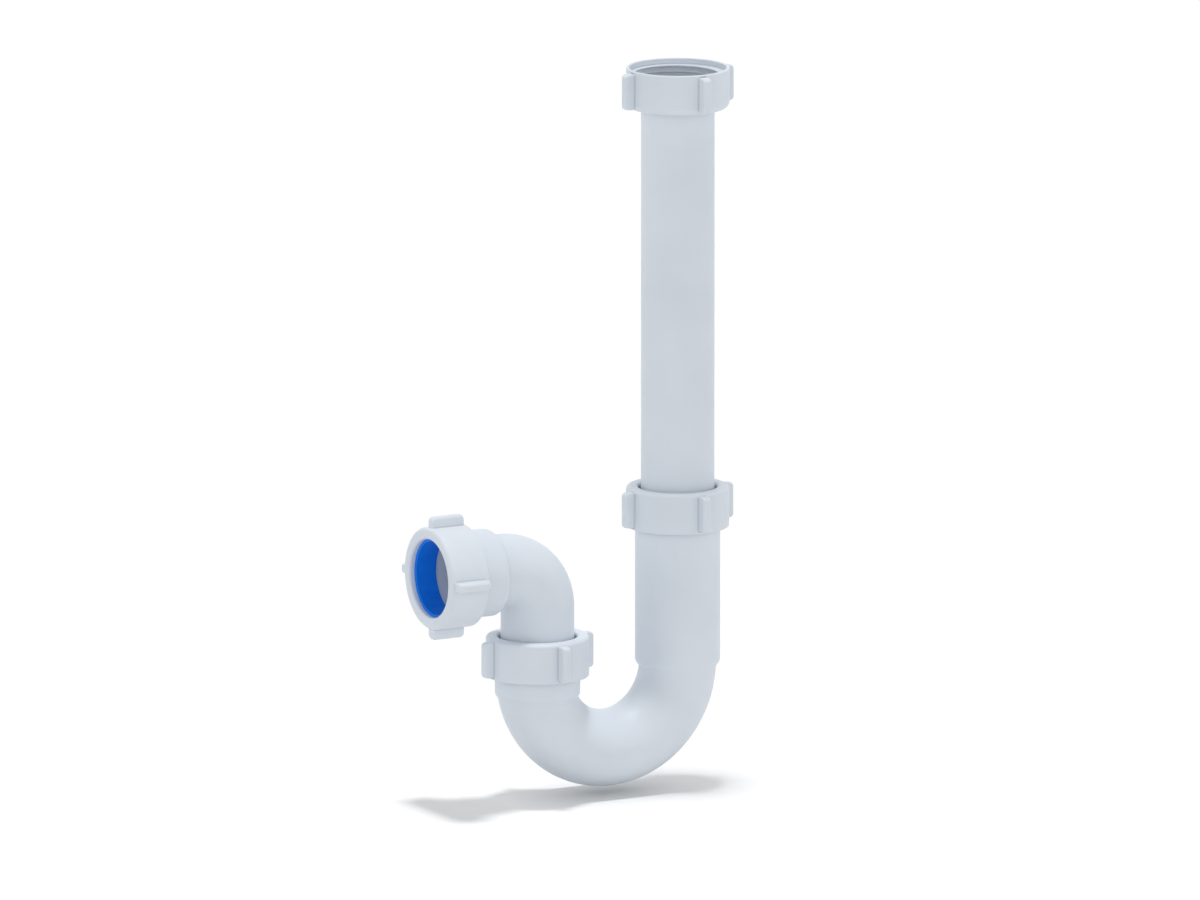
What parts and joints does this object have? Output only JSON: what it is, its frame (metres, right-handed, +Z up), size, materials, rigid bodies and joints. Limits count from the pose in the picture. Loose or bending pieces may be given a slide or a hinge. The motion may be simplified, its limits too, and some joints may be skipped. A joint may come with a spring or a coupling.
{
  "type": "basin trap",
  "caption": "Tubular plastic basin trap: a U bend with a height-adjustable inlet pipe, a swivelling outlet elbow and lugged compression nuts with cone seals.",
  "frame": {"origin": "centre of the inlet gasket's upper face, where the basin waste seats", "axes": "+Z up along the inlet axis, out of the union nut's mouth; the outlet points along -X"},
  "size_m": [0.1884, 0.068, 0.3932],
  "materials": {
    "polypropylene": "satin moulded",
    "blue_rubber": "matt",
    "grey_rubber": "matt"
  },
  "bodies": {
    "inlet_nut": {"inlet_nut": "polypropylene"},
    "inlet_pipe": {"inlet_pipe": "polypropylene", "inlet_gasket": "grey_rubber"},
    "u_bend": {"u_bend": "polypropylene"},
    "pipe_seal": {"pipe_seal": "grey_rubber"},
    "pipe_nut": {"pipe_nut": "polypropylene"},
    "outlet_elbow": {"outlet_elbow": "polypropylene"},
    "elbow_seal": {"elbow_seal": "grey_rubber"},
    "elbow_nut": {"elbow_nut": "polypropylene"},
    "outlet_seal": {"outlet_seal": "blue_rubber"},
    "outlet_nut": {"outlet_nut": "polypropylene"}
  },
  "joints": [
    {"name": "inlet_swivel", "type": "hinge", "parent": "inlet_nut", "child": "inlet_pipe", "pos_m": [0, 0, 0], "axis": [0, 0, 1], "continuous": true},
    {"name": "height_slide", "type": "slide", "parent": "inlet_pipe", "child": "u_bend", "axis": [0, 0, 1], "range_m": [-0.03, 0.035]},
    {"name": "elbow_swivel", "type": "hinge", "parent": "u_bend", "child": "outlet_elbow", "pos_m": [-0.087, 0, -0.292], "axis": [0, 0, 1], "range_deg": [-120, 120]},
    {"name": "pipe_seal_lift", "type": "slide", "parent": "u_bend", "child": "pipe_seal", "axis": [0, 0, 1], "range_m": [0, 0.01127]},
    {"name": "pipe_nut_turn", "type": "hinge", "parent": "pipe_seal", "child": "pipe_nut", "pos_m": [0, 0, -0.2176], "axis": [0, 0, 1], "range_deg": [0, 1350]},
    {"name": "elbow_seal_lift", "type": "slide", "parent": "u_bend", "child": "elbow_seal", "axis": [0, 0, 1], "range_m": [0, 0.01127]},
    {"name": "elbow_nut_turn", "type": "hinge", "parent": "elbow_seal", "child": "elbow_nut", "pos_m": [-0.087, 0, -0.292], "axis": [0, 0, 1], "range_deg": [0, 1350]},
    {"name": "outlet_seal_lift", "type": "slide", "parent": "outlet_elbow", "child": "outlet_seal", "axis": [-1, 0, 0], "range_m": [0, 0.01127]},
    {"name": "outlet_nut_turn", "type": "hinge", "parent": "outlet_seal", "child": "outlet_nut", "pos_m": [-0.1544, 0, -0.2544], "axis": [-1, 0, 0], "range_deg": [0, 1350]}
  ],
  "couplings": [
    {"joint": "pipe_seal_lift", "follows": "pipe_nut_turn", "m_per_rad": 0.00047746},
    {"joint": "elbow_seal_lift", "follows": "elbow_nut_turn", "m_per_rad": 0.00047746},
    {"joint": "outlet_seal_lift", "follows": "outlet_nut_turn", "m_per_rad": 0.00047746}
  ]
}
